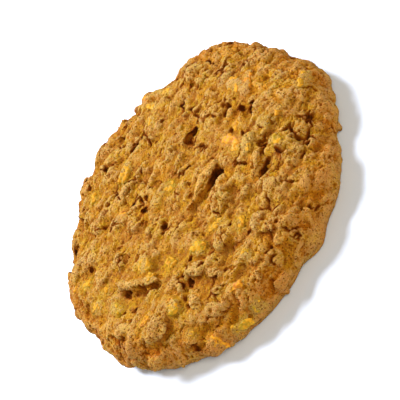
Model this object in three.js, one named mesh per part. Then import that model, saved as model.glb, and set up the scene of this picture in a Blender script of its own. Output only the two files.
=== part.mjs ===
// One apple pie cookie: thick, soft-baked oat dough with diced apple, lying flat with its craggy side up.
// Millimetres, +Z up. The origin is in the middle of the flat underside.
import * as THREE from "three";

// Driving dimensions of the round, level cookie that the crags are laid on. It is widest low, at its waist.
const RADIUS = 40;
const HEIGHT = 12.2;
const DOME = 1.2;
const SHOULDER = 13;
const WAIST = 3.8;
const HEEL = 3.4;

// The mesh: rings over the crust, each with six points more than the one inside it, then rings of the heel.
const CRUST_RINGS = 40;
const HEEL_RINGS = 4;
const RING_STEP = 6;

// Where the rim bulges or falls short, in degrees round it, with how far and half how wide in mm.
const RIM_BULGES = [
  { at: 5, out: -0.5, reach: 4 },
  { at: 36, out: 1.6, reach: 4.4 },
  { at: 54, out: -1.2, reach: 5 },
  { at: 75, out: -1.5, reach: 3 },
  { at: 88, out: 0.4, reach: 5 },
  { at: 125, out: -0.4, reach: 6 },
  { at: 137, out: -1.2, reach: 3.4 },
  { at: 149.5, out: 1.2, reach: 3.4 },
  { at: 173, out: -0.7, reach: 6 },
  { at: 203, out: 0.6, reach: 5 },
  { at: 250, out: 0.4, reach: 5 },
  { at: 270, out: -1.2, reach: 2.4 },
  { at: 279, out: 1.5, reach: 3.4 },
  { at: 297, out: 0.6, reach: 3.4 },
  { at: 317, out: -1.2, reach: 5.4 },
  { at: 341, out: 1.6, reach: 5.4 },
];

// Strips and dice of apple, and the biggest clods, that stand out of the crust: x and y of the middle, length
// and width, the turn of the length from +X in degrees, and how far each stands up.
const STANDING = {
  longStrip: { x: 4.8, y: -7.2, long: 13, wide: 4, turn: 7, up: 1.8 },
  nearSlab: { x: 9, y: -16, long: 17, wide: 8, turn: -12, up: 1.1 },
  leftRidge: { x: -22, y: -5.5, long: 13, wide: 5, turn: -52, up: 1.5 },
  toastedClod: { x: -29, y: -15.5, long: 13, wide: 9, turn: -35, up: 1.7 },
  farClod: { x: 28, y: 27, long: 11, wide: 7, turn: 130, up: 1.2 },
  toastedDie: { x: 27.3, y: 2, long: 8, wide: 6, turn: 65, up: 2.1 },
  brightDie: { x: -4, y: 21.4, long: 7, wide: 4.4, turn: 5, up: 1.5 },
  leftDie: { x: -18, y: -4, long: 6.4, wide: 5, turn: 75, up: 1.6 },
  paleDie: { x: 16, y: -12, long: 7.5, wide: 5.5, turn: 15, up: 1.9 },
  greenDie: { x: 24, y: -13, long: 8, wide: 4.6, turn: -6, up: 1.5 },
  rightStrip: { x: 21.5, y: -4, long: 8, wide: 3.6, turn: 25, up: 1.4 },
  nearDie: { x: -22.3, y: -20.5, long: 6, wide: 5, turn: 0, up: 1.5 },
  curledFlake: { x: -14, y: 13, long: 6.5, wide: 4.4, turn: -30, up: 1.6 },
  archedFlake: { x: -20, y: 4, long: 6, wide: 3.6, turn: 10, up: 1.3 },
  oliveDie: { x: -8, y: -17.5, long: 5.5, wide: 4, turn: 20, up: 1.2 },
  rimDie: { x: -27.4, y: -34.3, long: 6.5, wide: 5, turn: 35, up: 1.9 },
  rimFlake: { x: -20, y: -38, long: 6.5, wide: 4.4, turn: 25, up: 1.2 },
};

// Pits and crevices in the crust, measured the same way, with how deep each goes.
const PITS = {
  underLongStrip: { x: 5, y: -10.6, long: 11, wide: 3.2, turn: 5, down: 1.9 },
  underNearSlab: { x: 13.5, y: -21.6, long: 10, wide: 3.6, turn: 14, down: 1.9 },
  leftCrevice: { x: -25, y: -8, long: 15, wide: 3.4, turn: -60, down: 1.9 },
  farRightHollow: { x: 28, y: 14.5, long: 9, wide: 4.2, turn: 85, down: 1.6 },
  farHollow: { x: 15.5, y: 15, long: 6.5, wide: 5, turn: 0, down: 1.2 },
  rightPit: { x: 24.3, y: -7.5, long: 5.6, wide: 3.4, turn: -25, down: 1.6 },
  upperRightPit: { x: 11.3, y: 6, long: 5, wide: 3.8, turn: 20, down: 1.6 },
  middlePit: { x: 5, y: -0.6, long: 6.4, wide: 3.2, turn: -12, down: 1.5 },
  smallPit: { x: 2.8, y: 3.3, long: 3.8, wide: 3, turn: 10, down: 1.2 },
  upperLeftCrevice: { x: -7.5, y: 8.8, long: 8, wide: 3.6, turn: -45, down: 1.6 },
  besideCurledFlake: { x: -18, y: 12.5, long: 5.4, wide: 3.4, turn: 80, down: 1.3 },
  lowerLeftPit: { x: -16.8, y: -21.4, long: 6.5, wide: 3.6, turn: -72, down: 1.6 },
  nearCrevice: { x: -8, y: -30.4, long: 8, wide: 3.6, turn: -58, down: 1.6 },
  nearLeftCrevice: { x: -17, y: -34.5, long: 6, wide: 3.4, turn: -25, down: 1.4 },
};

// Clods of dough and coated oat flakes over the whole crust, drawn by a rule: few broad ones, many small.
const CLOD_SIZES = [
  { count: 46, halfLength: [4.5, 7.5], slimness: [0.55, 0.95], up: [0.3, 1.0], stray: 3, seed: 12 },
  { count: 230, halfLength: [1.7, 3.4], slimness: [0.45, 0.95], up: [0.3, 1.0], stray: 1.6, seed: 31 },
];

const CRUST_COLOUR = 0xc08a3e;
const DEGREE = Math.PI / 180;
const GOLDEN_ANGLE = Math.PI * (3 - Math.sqrt(5));

// Repeatable random numbers from 0 to 1, by the mulberry32 rule.
function randomFrom(seed) {
  let state = seed;
  return () => {
    state = (state + 0x6d2b79f5) | 0;
    let mixed = Math.imul(state ^ (state >>> 15), 1 | state);
    mixed = (mixed + Math.imul(mixed ^ (mixed >>> 7), 61 | mixed)) ^ mixed;
    return ((mixed ^ (mixed >>> 14)) >>> 0) / 2 ** 32;
  };
}

// The section from the middle of the crust, over the shoulder and the waist, to the edge of the underside.
function makeSection() {
  const face = RADIUS - SHOULDER;
  const level = HEIGHT - DOME;
  const section = new THREE.CurvePath();
  section.add(
    new THREE.QuadraticBezierCurve(
      new THREE.Vector2(0, HEIGHT),
      new THREE.Vector2(face / 2, HEIGHT),
      new THREE.Vector2(face, level),
    ),
  );
  section.add(new THREE.EllipseCurve(face, WAIST, SHOULDER, level - WAIST, Math.PI / 2, 0, true));
  section.add(new THREE.EllipseCurve(RADIUS - HEEL, WAIST, HEEL, WAIST, 0, -Math.PI / 2, true));
  return section;
}

// How far the rim bulges at an angle round the cookie.
function rimBulge(angle) {
  let out = 0;
  for (const bulge of RIM_BULGES) {
    const apart = angle - bulge.at * DEGREE;
    const turn = Math.atan2(Math.sin(apart), Math.cos(apart));
    out += bulge.out * Math.exp(-(((turn * RADIUS) / bulge.reach) ** 2));
  }
  return out;
}

// Clods on a spiral that gives each the same room, from which each strays a little.
function scatterClods({ count, halfLength, slimness, up, stray, seed }, reach) {
  const random = randomFrom(seed);
  const between = ([low, high]) => low + (high - low) * random();
  return Array.from({ length: count }, (_, i) => {
    const away = reach * Math.sqrt((i + 0.5) / count);
    const long = 2 * between(halfLength);
    return {
      x: away * Math.cos(i * GOLDEN_ANGLE) + stray * (2 * random() - 1),
      y: away * Math.sin(i * GOLDEN_ANGLE) + stray * (2 * random() - 1),
      long,
      wide: long * between(slimness),
      turn: 180 * random(),
      up: between(up),
    };
  });
}

// 1 in the middle of an oval mark, 0 from its edge outwards.
function insideOval(mark, x, y) {
  const c = Math.cos(mark.turn * DEGREE);
  const s = Math.sin(mark.turn * DEGREE);
  const along = (2 * ((x - mark.x) * c + (y - mark.y) * s)) / mark.long;
  const across = (2 * ((y - mark.y) * c - (x - mark.x) * s)) / mark.wide;
  return Math.max(0, 1 - along * along - across * across);
}

// How far the crags stand out of the smooth cookie. x and y are measured along the crust, not across.
function crags(layers, x, y) {
  const height = (mark, power) => mark.up * insideOval(mark, x, y) ** power;
  const highest = (marks, power) => Math.max(...marks.map((mark) => height(mark, power)));
  let out = highest(Object.values(STANDING), 0.6);
  for (const clods of layers) out += highest(clods, 0.8);
  for (const pit of Object.values(PITS)) out -= pit.down * insideOval(pit, x, y) ** 1.5;
  return out;
}

// Where the surface is, at a distance from the middle along the section and an angle round the cookie.
function makeSurface() {
  const section = makeSection();
  const [crown, shoulder, heel] = section.curves.map((curve) => curve.getLength());
  const waistAt = crown + shoulder;
  const footAt = waistAt + heel;
  const layers = CLOD_SIZES.map((size) => scatterClods(size, footAt));
  const pointAt = (away, angle) => {
    const { x: radius, y: height } = section.getPoint(Math.min(1, away / footAt));
    const run = section.getTangent(Math.min(1, away / footAt));
    const rim = THREE.MathUtils.smoothstep(away, 0.5 * waistAt, 0.9 * waistAt);
    const crust = 1 - THREE.MathUtils.smoothstep(away, waistAt, footAt);
    const out = rim * rimBulge(angle) + crust * crags(layers, away * Math.cos(angle), away * Math.sin(angle));
    const reach = away > waistAt ? radius + out : radius - run.y * out;
    const level = away > waistAt ? height : height + run.x * out;
    return new THREE.Vector3(reach * Math.cos(angle), reach * Math.sin(angle), level);
  };
  return { waistAt, footAt, pointAt };
}

// Rings of points over the surface, from the middle out and down, joined by triangles of even size.
function makeCookieGeometry() {
  const { waistAt, footAt, pointAt } = makeSurface();
  const points = [];
  const faces = [];
  const addPoint = (point) => points.push(point) - 1;
  const addRing = (away, count) =>
    Array.from({ length: count }, (_, i) => addPoint(pointAt(away, (2 * Math.PI * i) / count)));

  // On the crust each sixth of a ring has one triangle pair more than in the ring inside it.
  let inner = [addPoint(pointAt(0, 0))];
  for (let ring = 1; ring <= CRUST_RINGS; ring++) {
    const outer = addRing((waistAt * ring) / CRUST_RINGS, RING_STEP * ring);
    for (let i = 0; i < outer.length; i++) {
      const sixth = Math.floor(i / ring);
      const within = i % ring;
      const corner = inner[(sixth * (ring - 1) + within) % inner.length];
      faces.push(outer[i], outer[(i + 1) % outer.length], corner);
      if (within === ring - 1) continue;
      faces.push(outer[i + 1], inner[(sixth * (ring - 1) + within + 1) % inner.length], corner);
    }
    inner = outer;
  }

  // Under the waist the rings have equal counts.
  for (let ring = 1; ring <= HEEL_RINGS; ring++) {
    const outer = addRing(waistAt + ((footAt - waistAt) * ring) / HEEL_RINGS, inner.length);
    for (let i = 0; i < outer.length; i++) {
      const next = (i + 1) % outer.length;
      faces.push(outer[i], outer[next], inner[i], outer[next], inner[next], inner[i]);
    }
    inner = outer;
  }

  // The flat underside.
  const middle = addPoint(new THREE.Vector3());
  inner.forEach((point, i) => faces.push(inner[(i + 1) % inner.length], point, middle));

  const geometry = new THREE.BufferGeometry().setFromPoints(points);
  geometry.setIndex(faces);
  geometry.computeBoundingBox();
  const centre = geometry.boundingBox.getCenter(new THREE.Vector3());
  geometry.translate(-centre.x, -centre.y, 0);
  geometry.computeVertexNormals();
  return geometry;
}

const crust = new THREE.MeshStandardMaterial({ color: CRUST_COLOUR, roughness: 0.85, metalness: 0 });
const cookie = new THREE.Mesh(makeCookieGeometry(), crust);
cookie.name = "cookie";

const applePieCookie = new THREE.Group();
applePieCookie.add(cookie);

export default applePieCookie;
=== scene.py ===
# %% [markdown]
# # A soft-baked oat cookie with diced apple
# The real object is a ball of oat dough that was dropped on a tray and baked, so it is round, flat
# below and craggy above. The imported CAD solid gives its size, its outline and its main relief.
# Blender adds what a solid can't carry: lumps of dough, oat flakes, cracks, apple and colour.

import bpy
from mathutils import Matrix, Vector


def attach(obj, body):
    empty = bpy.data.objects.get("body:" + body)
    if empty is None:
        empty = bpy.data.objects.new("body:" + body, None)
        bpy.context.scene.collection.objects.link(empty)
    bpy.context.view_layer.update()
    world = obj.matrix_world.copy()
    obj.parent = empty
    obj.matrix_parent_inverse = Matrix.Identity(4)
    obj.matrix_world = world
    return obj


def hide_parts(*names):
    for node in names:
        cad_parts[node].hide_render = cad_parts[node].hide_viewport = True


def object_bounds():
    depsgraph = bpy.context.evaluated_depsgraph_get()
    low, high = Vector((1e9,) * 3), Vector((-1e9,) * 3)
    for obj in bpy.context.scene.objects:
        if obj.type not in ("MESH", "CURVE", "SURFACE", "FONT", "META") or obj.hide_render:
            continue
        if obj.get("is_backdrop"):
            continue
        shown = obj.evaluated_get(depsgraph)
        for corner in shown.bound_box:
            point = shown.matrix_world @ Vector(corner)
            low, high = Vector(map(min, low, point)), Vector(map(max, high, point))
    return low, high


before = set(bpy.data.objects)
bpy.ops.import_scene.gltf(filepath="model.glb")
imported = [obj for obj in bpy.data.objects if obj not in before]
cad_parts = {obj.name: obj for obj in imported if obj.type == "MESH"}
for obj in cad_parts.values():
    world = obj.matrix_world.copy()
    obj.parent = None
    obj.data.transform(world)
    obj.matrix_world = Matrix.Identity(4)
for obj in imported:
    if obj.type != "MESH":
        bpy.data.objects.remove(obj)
cad_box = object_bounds()
print("the packed cookie spans", [round((high - low) * 1000, 2) for low, high in zip(*cad_box)], "mm")

# %% [markdown]
# ## Five small helpers
# An operator works on whatever is selected, so a script first says which pieces it means, and what
# of them. Modifiers are applied as soon as they have done their work, so that each piece ends up as
# a plain mesh. A search tree finds the face that a ray meets, or the one nearest to a point. The
# cookie's lengths are written in millimetres, because a baker thinks in those and not in metres.

# %% Select, open, apply, join and search
import json
import math
import random

import bpy
from mathutils import Matrix, Vector
from mathutils.bvhtree import BVHTree

MM = 0.001


def take(*pieces):
    """Selects these pieces and nothing else, and makes the first one active."""
    bpy.ops.object.select_all(action="DESELECT")
    for piece in pieces:
        piece.select_set(True)
    bpy.context.view_layer.objects.active = pieces[0]


def open_mesh(piece, action="SELECT"):
    """Opens a piece in edit mode with all of it selected, or with none of it for DESELECT."""
    take(piece)
    bpy.ops.object.mode_set(mode="EDIT")
    bpy.ops.mesh.select_all(action=action)


def modify(piece, kind, **settings):
    """Adds a modifier with its settings and applies it at once."""
    modifier = piece.modifiers.new(kind.title(), kind)
    for name, value in settings.items():
        setattr(modifier, name, value)
    take(piece)
    bpy.ops.object.modifier_apply(modifier=modifier.name)


def join(name, pieces):
    """Joins the pieces into one mesh with this name."""
    take(*pieces)
    bpy.ops.object.join()
    joined = bpy.context.object
    joined.name = joined.data.name = name
    return joined


def search_tree(piece):
    """A search tree over the faces of a piece."""
    return BVHTree.FromObject(piece, bpy.context.evaluated_depsgraph_get())


# %% [markdown]
# ## Node maths that reads like a sum
# Both the crumb's relief and its colours are made of nodes. A Wire stands for one socket, and
# Python's own operators work on it, so `0.5 - crumb` adds the Math node for us. Any other node comes
# from `add`, which sets its settings first and its sockets after that.

# %% A wire from one socket
class Wire:
    """A socket of a node. A sum on it adds a Math node, or a Vector Math node for a vector."""

    def __init__(self, bench, socket):
        self.bench = bench
        self.socket = socket

    def __add__(self, other):
        return self.bench.work("ADD", self, other)

    def __radd__(self, other):
        return self.bench.work("ADD", other, self)

    def __sub__(self, other):
        return self.bench.work("SUBTRACT", self, other)

    def __rsub__(self, other):
        return self.bench.work("SUBTRACT", other, self)

    def __mul__(self, other):
        return self.bench.work("MULTIPLY", self, other)

    def __rmul__(self, other):
        return self.bench.work("MULTIPLY", other, self)

    def __truediv__(self, other):
        return self.bench.work("DIVIDE", self, other)

    def between(self, low, high):
        """0 below low, 1 above high, and a smooth step from one to the other."""
        limits = {"Value": self, "From Min": low, "From Max": high}
        return self.bench.add("ShaderNodeMapRange", {"interpolation_type": "SMOOTHSTEP"}, limits)


# %% A bench to wire nodes on
class Bench:
    """A node tree that is being wired up."""

    def __init__(self, tree):
        self.tree = tree
        tree.nodes.clear()

    def plug(self, socket, value):
        """Links a wire to a socket, or sets the socket to a number, a colour or a vector."""
        if isinstance(value, Wire):
            self.tree.links.new(value.socket, socket)
        elif socket.type == "VECTOR" and isinstance(value, (int, float)):
            socket.default_value = (value, value, value)
        elif socket.type == "RGBA":
            socket.default_value = (*value, 1.0)
        else:
            socket.default_value = value

    def add(self, kind, settings=None, inputs=None, output=0):
        """Adds a node and returns one of its outputs as a wire, or nothing from a last node."""
        node = self.tree.nodes.new(kind)
        for name, value in (settings or {}).items():
            setattr(node, name, value)
        for name, value in (inputs or {}).items():
            self.plug(node.inputs[name], value)
        return Wire(self, node.outputs[output]) if node.outputs else None

    def work(self, operation, first, second):
        """One sum of two values, of which either may be a wire, a number or a vector."""
        both = (first, second)
        vectors = [isinstance(v, tuple) or isinstance(v, Wire) and v.socket.type != "VALUE" for v in both]
        kind = "ShaderNodeVectorMath" if any(vectors) else "ShaderNodeMath"
        return self.add(kind, {"operation": operation}, {0: first, 1: second})

    def blend(self, low, high, share):
        """A colour between two colours."""
        return self.add("ShaderNodeMix", {"data_type": "RGBA"}, {0: share, 6: low, 7: high}, 2)

    def cloud(self, place, size, detail=2.0, roughness=0.5, output=0):
        """Soft noise around 0.5, whose patches are about size millimetres wide."""
        inputs = {"Vector": place, "Scale": 1 / (size * MM), "Detail": detail, "Roughness": roughness}
        return self.add("ShaderNodeTexNoise", None, inputs, output)

    def clods(self, place, size, feature="F1", output=0):
        """How far a place is from the middle of its clod, 0 to about 1. Clods are size mm apart."""
        inputs = {"Vector": place, "Scale": 1 / (size * MM)}
        return self.add("ShaderNodeTexVoronoi", {"feature": feature}, inputs, output)


# %% [markdown]
# ## The camera
# The photograph looks down at the cookie's face at 38 degrees, with the picture turned by 57.8
# degrees. A long lens far away gives the same nearly parallel view. The camera looks along its own
# minus Z, so its three axes are worked out first and then made a rotation.

# %% Place the camera
ELEVATION = math.radians(38.0)
ROLL = math.radians(57.8)
DISTANCE = 459.8 * MM
LENS = 184.0
LOOKED_AT = Vector((0.4, -1.6, 6.0)) * MM

backward = Vector((0, -math.cos(ELEVATION), math.sin(ELEVATION)))
level_right = Vector((1, 0, 0))
level_up = Vector((0, math.sin(ELEVATION), math.cos(ELEVATION)))
right = math.cos(ROLL) * level_right - math.sin(ROLL) * level_up
up = math.sin(ROLL) * level_right + math.cos(ROLL) * level_up
bpy.ops.object.camera_add(location=LOOKED_AT + DISTANCE * backward)
camera = bpy.context.object
camera.rotation_euler = Matrix((right, up, backward)).transposed().to_euler()
camera.data.lens = LENS
bpy.context.scene.camera = camera
print("the camera stands at", [round(c * 1000) for c in camera.location], "mm")

# %% [markdown]
# ## The light and the floor
# A soft lamp behind the cookie rakes over the crumb and shows every crevice. A warm one in front
# lightens the near side, and a pale world fills the shadows. The floor is only a stage, and it lies
# a hair below the cookie, so that two flat faces don't share one place.

# %% Hang the lamps
LAMPS = (
    # name, direction, distance and width (m), watts, colour
    ("key_lamp", (-0.14, 0.72, 0.78), 0.75, 0.34, 13.7, (1.0, 1.0, 1.0)),
    ("fill_lamp", (0.15, -0.80, 0.62), 0.9, 0.5, 9.0, (1.0, 0.84, 0.58)),
)
AIR = (1.0, 0.93, 0.83)
AIR_STRENGTH = 0.20


def soft_lamp(name, direction, distance, width, watts, colour):
    """A square lamp that looks at the cookie from a direction."""
    direction = Vector(direction)
    turn = direction.to_track_quat("Z", "Y").to_euler()
    bpy.ops.object.light_add(type="AREA", location=direction.normalized() * distance, rotation=turn)
    lamp = bpy.context.object
    lamp.name = name
    lamp.data.size = width
    lamp.data.energy = watts
    lamp.data.color = colour


for lamp in LAMPS:
    soft_lamp(*lamp)
bpy.context.scene.world = bpy.data.worlds.new("studio")
bpy.context.scene.world.use_nodes = True
studio = Bench(bpy.context.scene.world.node_tree)
pale_air = studio.add("ShaderNodeBackground", None, {"Color": AIR, "Strength": AIR_STRENGTH})
studio.add("ShaderNodeOutputWorld", None, {"Surface": pale_air})
bpy.context.scene.view_settings.view_transform = "Standard"
print("lamps:", ", ".join(lamp[0] for lamp in LAMPS))

# %% Lay the floor
FLOOR_SIDE = 4.0
FLOOR_DEPTH = 0.05 * MM

bpy.ops.mesh.primitive_plane_add(size=FLOOR_SIDE, location=(0, 0, -FLOOR_DEPTH))
floor = bpy.context.object
floor.name = "floor"
floor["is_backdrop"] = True
print("the floor lies", FLOOR_DEPTH / MM, "mm below the cookie")

# %% [markdown]
# ## The core of the dough
# The core starts as a copy of the CAD solid, so the cookie keeps its outline and its height. A
# copied CAD mesh is loose triangles, which are merged first. A voxel remesh turns it into even
# faces. A vertex group then smooths the coarse bumps of the face away, because finer lumps go
# there. The core is drawn in a little to leave room for them, and its foot is let down again,
# because the underside stays on the tray.

# %% Copy and even out the solid
SAME_POINT = 0.001 * MM
CORE_VOXEL = 0.5 * MM
FACE_RADIUS, FACE_FADE = 36.0, 6.0
FACE_LOWEST = 5.0 * MM
FACE_SMOOTHING, ALL_SMOOTHING = 100, 4
SKIN = 0.45 * MM
FOOT_HEIGHT = 2.0 * MM

core = bpy.data.objects.new("cookie_crumb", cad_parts["cookie"].data.copy())
bpy.context.scene.collection.objects.link(core)
open_mesh(core)
bpy.ops.mesh.remove_doubles(threshold=SAME_POINT)
bpy.ops.object.mode_set(mode="OBJECT")
modify(core, "REMESH", mode="VOXEL", voxel_size=CORE_VOXEL)
face = core.vertex_groups.new(name="face")
for vertex in core.data.vertices:
    from_middle = math.hypot(vertex.co.x, vertex.co.y) / MM
    on_face = min(1.0, (FACE_RADIUS - from_middle) / FACE_FADE)
    if vertex.co.z > FACE_LOWEST and on_face > 0:
        face.add([vertex.index], on_face, "REPLACE")
modify(core, "SMOOTH", factor=0.5, iterations=FACE_SMOOTHING, vertex_group="face")
modify(core, "SMOOTH", factor=0.5, iterations=ALL_SMOOTHING)
core.vertex_groups.clear()
modify(core, "DISPLACE", strength=-SKIN, mid_level=0.0)
for vertex in core.data.vertices:
    share = max(0.0, 1 - (vertex.co.z - SKIN) / FOOT_HEIGHT)
    vertex.co.z = max(0.0, vertex.co.z - SKIN * min(1.0, share))
print("the core has", len(core.data.polygons), "faces")

# %% [markdown]
# ## Finding a spot on the crust
# Everything that sits in the crust has a spot that is measured as on a map: so many millimetres to
# the right and away from the middle, along the crust. The plain section of the cookie says where
# that is and which way is out, and a ray from outside finds the real surface there.

# %% Draw the plain section
CROWN_HEIGHT, CROWN_DROP = 12.2, 1.2
SHOULDER_START, SHOULDER_RUN, SHOULDER_RISE = 27, 13.0, 7.2
WAIST, HEEL_RUN = 3.8, 3.4


def plain_section():
    """The section from the middle of the face to the foot: radius and height (mm), way out (radians)."""
    points = []
    for radius in range(SHOULDER_START + 1):
        height = CROWN_HEIGHT - CROWN_DROP * (radius / SHOULDER_START) ** 2
        points.append((radius, height, math.radians(90)))
    for degrees in range(87, -1, -3):
        a = math.radians(degrees)
        slope = math.atan2(math.sin(a) / SHOULDER_RISE, math.cos(a) / SHOULDER_RUN)
        radius = SHOULDER_START + SHOULDER_RUN * math.cos(a)
        points.append((radius, WAIST + SHOULDER_RISE * math.sin(a), slope))
    for degrees in range(-9, -90, -9):
        a = math.radians(degrees)
        radius = SHOULDER_START + SHOULDER_RUN - HEEL_RUN + HEEL_RUN * math.cos(a)
        points.append((radius, WAIST + WAIST * math.sin(a), a))
    return points


SECTION = plain_section()
print("the plain section has", len(SECTION), "points")

# %% Walk along the section, then cast a ray
MIDDLE = Vector((-0.146, 0.241, 0))
RAY_START = 8
OWN_SLOPE = 0.4

crust_tree = search_tree(core)


def seat(x, y, turn=0.0, tree=None):
    """A matrix that puts a shape on the crust, x, y millimetres from the middle: its x axis along the
    crust, turned as seen from above, and its z axis pointing out. The way out is mostly the plain
    section's, with a share of the surface's own slope."""
    left = math.hypot(x, y)
    azimuth = math.atan2(y, x)
    for (r0, z0, _), (r1, z1, slope) in zip(SECTION, SECTION[1:]):
        step = math.hypot(r1 - r0, z1 - z0)
        if left <= step:
            break
        left -= step
    radius, height = r0 + (r1 - r0) * left / step, z0 + (z1 - z0) * left / step
    away = Vector((math.cos(azimuth), math.sin(azimuth), 0))
    outward = away * math.cos(slope) + Vector((0, 0, math.sin(slope)))
    downhill = away * math.sin(slope) - Vector((0, 0, math.cos(slope)))
    round_rim = Vector((-away.y, away.x, 0))
    plain = away * radius + Vector((0, 0, height)) + MIDDLE
    place, normal, _, _ = (tree or crust_tree).ray_cast((plain + RAY_START * outward) * MM, -outward)
    if place is None:
        place, normal = plain * MM, outward
    outward = (OWN_SLOPE * normal + outward).normalized()
    along = downhill * math.cos(turn - azimuth) + round_rim * math.sin(turn - azimuth)
    across = outward.cross(along).normalized()
    return Matrix.Translation(place) @ Matrix((across.cross(outward), across, outward)).transposed().to_4x4()


print("the middle of the face is at", [round(c * 1000, 2) for c in seat(0, 0).translation], "mm")

# %% [markdown]
# ## Lumps of dough
# A spoonful of oat dough never bakes smooth: it is a heap of small soft lumps with cracks between
# them. Four lumps are modelled from an icosphere whose points are moved at random and then
# smoothed. Copies of them are pressed into the core later, each with its own size and turn.

# %% Model four lumps
def model_lump(seed):
    """A rounded lump of dough, one unit in radius."""
    bpy.ops.mesh.primitive_ico_sphere_add(subdivisions=2, radius=1.0)
    lump = bpy.context.object
    open_mesh(lump)
    bpy.ops.transform.vertex_random(offset=0.34, seed=seed)
    bpy.ops.mesh.vertices_smooth(factor=0.5, repeat=1)
    bpy.ops.object.mode_set(mode="OBJECT")
    return lump


lumps = [model_lump(seed) for seed in (3, 5, 8, 11)]
print("one lump has", len(lumps[0].data.polygons), "faces")

# %% [markdown]
# ## Rolled oat flakes
# A rolled oat is a kernel that was flattened between rollers: an oval disc 4 to 5 mm long and half
# a millimetre thick, with a crease along it and a slight curl. One is made from a low sphere that
# is squashed, creased by lowering its middle row, and curled by raising its ends.

# %% Model one flake
CURL = 0.22
CREASE_DEPTH, CREASE_WIDTH = 0.10, 0.12


def model_flake():
    """An oat flake, one unit in half length."""
    bpy.ops.mesh.primitive_uv_sphere_add(segments=14, ring_count=7, radius=1.0)
    flake = bpy.context.object
    open_mesh(flake)
    bpy.ops.transform.resize(value=(1.0, 0.74, 0.17))
    bpy.ops.transform.vertex_random(offset=0.05, seed=2)
    bpy.ops.object.mode_set(mode="OBJECT")
    for vertex in flake.data.vertices:
        x, y, _ = vertex.co
        vertex.co.z += CURL * x * x - CREASE_DEPTH * math.exp(-((y / CREASE_WIDTH) ** 2))
    return flake


flake_shape = model_flake()
print("one flake has", len(flake_shape.data.polygons), "faces")

# %% [markdown]
# ## Where the apple lies
# The diced apple shows as yellow, greenish and toasted orange bits. Their spots were read off the
# photograph one by one, so they stand in a table. Lumps and flakes keep clear of them, so that the
# dough closes round the apple without covering it.

# %% List the apple bits
# x, y, length, width (mm), turn (degrees), how far it stands out (mm), kind
APPLE_BITS = (
    (28.4, -0.4, 7.2, 3.0, 40, 0.7, "toasted"), (26.8, 2.8, 7.0, 3.5, 81, 0.6, "amber"),
    (16.5, -13.4, 5.4, 2.6, 34, 0.7, "pale"), (15.5, -7.9, 6.9, 2.5, -85, 0.5, "skin"),
    (14.3, -10.7, 3.5, 2.2, -69, 0.4, "pale"), (20.4, -19.4, 4.4, 2.4, 77, 0.6, "green"),
    (34.9, -14.0, 5.3, 1.6, 35, 0.4, "yellow"), (35.1, -14.9, 2.3, 1.3, 15, 0.35, "yellow"),
    (26.7, -14.2, 4.1, 1.6, 26, 0.4, "amber"), (22.8, -12.7, 3.9, 3.3, -78, 0.4, "yellow"),
    (19.0, -5.5, 3.2, 2.4, 81, 0.4, "amber"), (14.1, 31.9, 5.2, 1.6, 90, 0.5, "toasted"),
    (13.0, 27.0, 4.6, 1.6, -86, 0.4, "pale"), (10.2, 23.2, 2.8, 2.2, 36, 0.4, "yellow"),
    (18.1, 26.9, 3.0, 2.2, -56, 0.35, "pale"), (-3.6, 19.9, 5.8, 2.8, 15, 0.6, "yellow"),
    (-0.5, 2.4, 3.6, 3.4, -88, 0.4, "green"), (-4.7, 3.3, 2.2, 2.2, 31, 0.35, "yellow"),
    (-12.6, 27.2, 3.7, 2.4, 54, 0.4, "green"), (-18.4, -5.3, 4.6, 3.8, 79, 0.7, "yellow"),
    (-19.5, -9.3, 2.6, 2.3, 90, 0.4, "yellow"), (-14.4, -11.5, 3.3, 2.5, 82, 0.4, "yellow"),
    (-8.3, -17.9, 4.8, 3.7, -84, 0.6, "green"), (-2.0, -18.2, 4.8, 1.7, -33, 0.45, "yellow"),
    (1.0, -24.7, 3.6, 3.1, 23, 0.5, "yellow"), (-3.9, -31.0, 2.2, 2.0, 89, 0.45, "yellow"),
    (-12.2, -39.3, 3.0, 1.8, -17, 0.45, "green"), (-17.9, -37.9, 5.1, 2.3, -40, 0.55, "green"),
    (-24.3, -34.2, 4.4, 2.8, 68, 0.7, "toasted"), (-25.3, -27.4, 1.8, 1.5, -64, 0.45, "yellow"),
    (-21.6, -25.8, 2.6, 2.0, 30, 0.4, "amber"), (-22.2, -20.8, 3.2, 2.5, -13, 0.55, "green"),
    (-28.1, -15.1, 3.5, 1.6, -24, 0.4, "amber"), (-29.8, -3.0, 4.4, 3.0, 81, 0.55, "green"),
    (-32.8, 5.2, 4.9, 2.7, -48, 0.5, "yellow"), (-28.7, 4.6, 2.9, 2.2, -42, 0.4, "yellow"),
    (-29.9, 11.2, 3.5, 2.0, -32, 0.4, "green"), (-11.0, -33.1, 4.4, 1.6, -34, 0.35, "toasted"),
    (-11.6, 12.0, 1.9, 1.3, -84, 0.4, "skin"), (-12.9, 11.0, 1.3, 1.3, -46, 0.35, "amber"),
    (1.0, 19.4, 5.1, 1.9, -56, 0.35, "amber"), (-0.8, 28.4, 1.7, 1.5, 17, 0.35, "yellow"),
    (-32.8, 16.2, 3.3, 2.5, -26, 0.4, "toasted"),
)


def on_apple(x, y, spare):
    """True where a spot lies within the mean radius of an apple bit plus spare millimetres."""
    for bit_x, bit_y, length, width, _, _, _ in APPLE_BITS:
        if math.hypot(x - bit_x, y - bit_y) < 0.25 * (length + width) + spare:
            return True
    return False


def beside(row, x, y):
    """How far a spot lies outside the oval of a row of one of the tables, in half widths."""
    row_x, row_y, length, width, turn = row[:5]
    turn = math.radians(turn)
    along = (x - row_x) * math.cos(turn) + (y - row_y) * math.sin(turn)
    across = (y - row_y) * math.cos(turn) - (x - row_x) * math.sin(turn)
    return math.hypot(along * 2 / length, across * 2 / width) - 1


print(len(APPLE_BITS), "apple bits")

# %% [markdown]
# ## Apple bits
# Each bit is a little block of apple, cut with a knife and shrunk in the oven. A cube is
# subdivided, its points are moved at random, and it is smoothed until the corners are round. Three
# such blocks are modelled, and every bit is a copy of one.

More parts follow.
